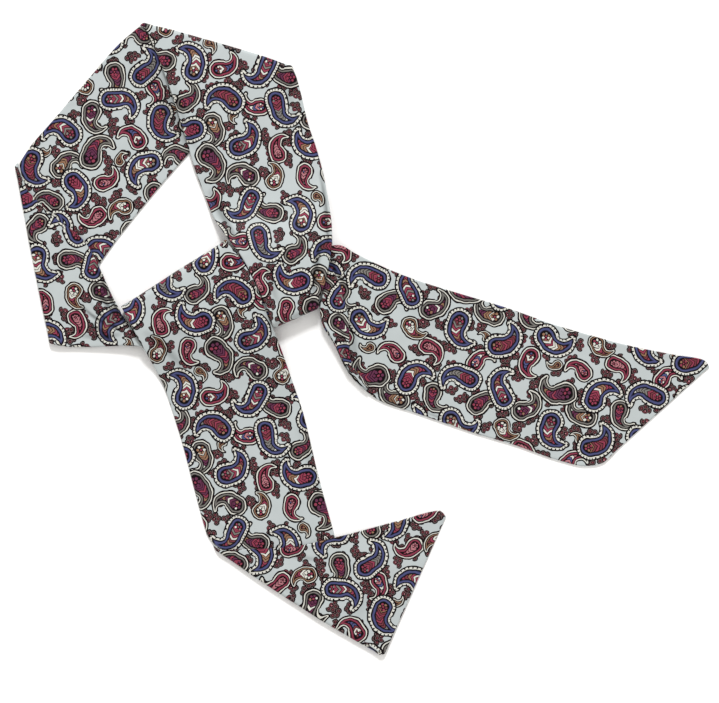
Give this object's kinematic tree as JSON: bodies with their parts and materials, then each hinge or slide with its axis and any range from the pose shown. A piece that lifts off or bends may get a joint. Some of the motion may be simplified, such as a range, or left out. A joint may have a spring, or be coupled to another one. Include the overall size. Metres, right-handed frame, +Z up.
{
  "type": "skinny scarf",
  "caption": "Narrow printed tube scarf with slanted ends, tied in a loose half knot with a loop and laid flat.",
  "frame": {"origin": "on the table, under the middle of the scarf's footprint", "axes": "+X along the longer side of the footprint, towards the long tail's tip; +Y away from the turned-up end, towards the top of the loop; +Z up from the table"},
  "size_m": [0.3892, 0.3538, 0.011],
  "materials": {
    "printed_twill": "printed satin twill"
  },
  "bodies": {
    "root": {"tail_end_turned": "printed_twill", "tail_down": "printed_twill", "band_right": "printed_twill", "band_left_upper": "printed_twill", "band_left_lower": "printed_twill", "tail_right": "printed_twill", "tail_right_pleat": "printed_twill", "knot_core": "printed_twill"}
  },
  "joints": []
}
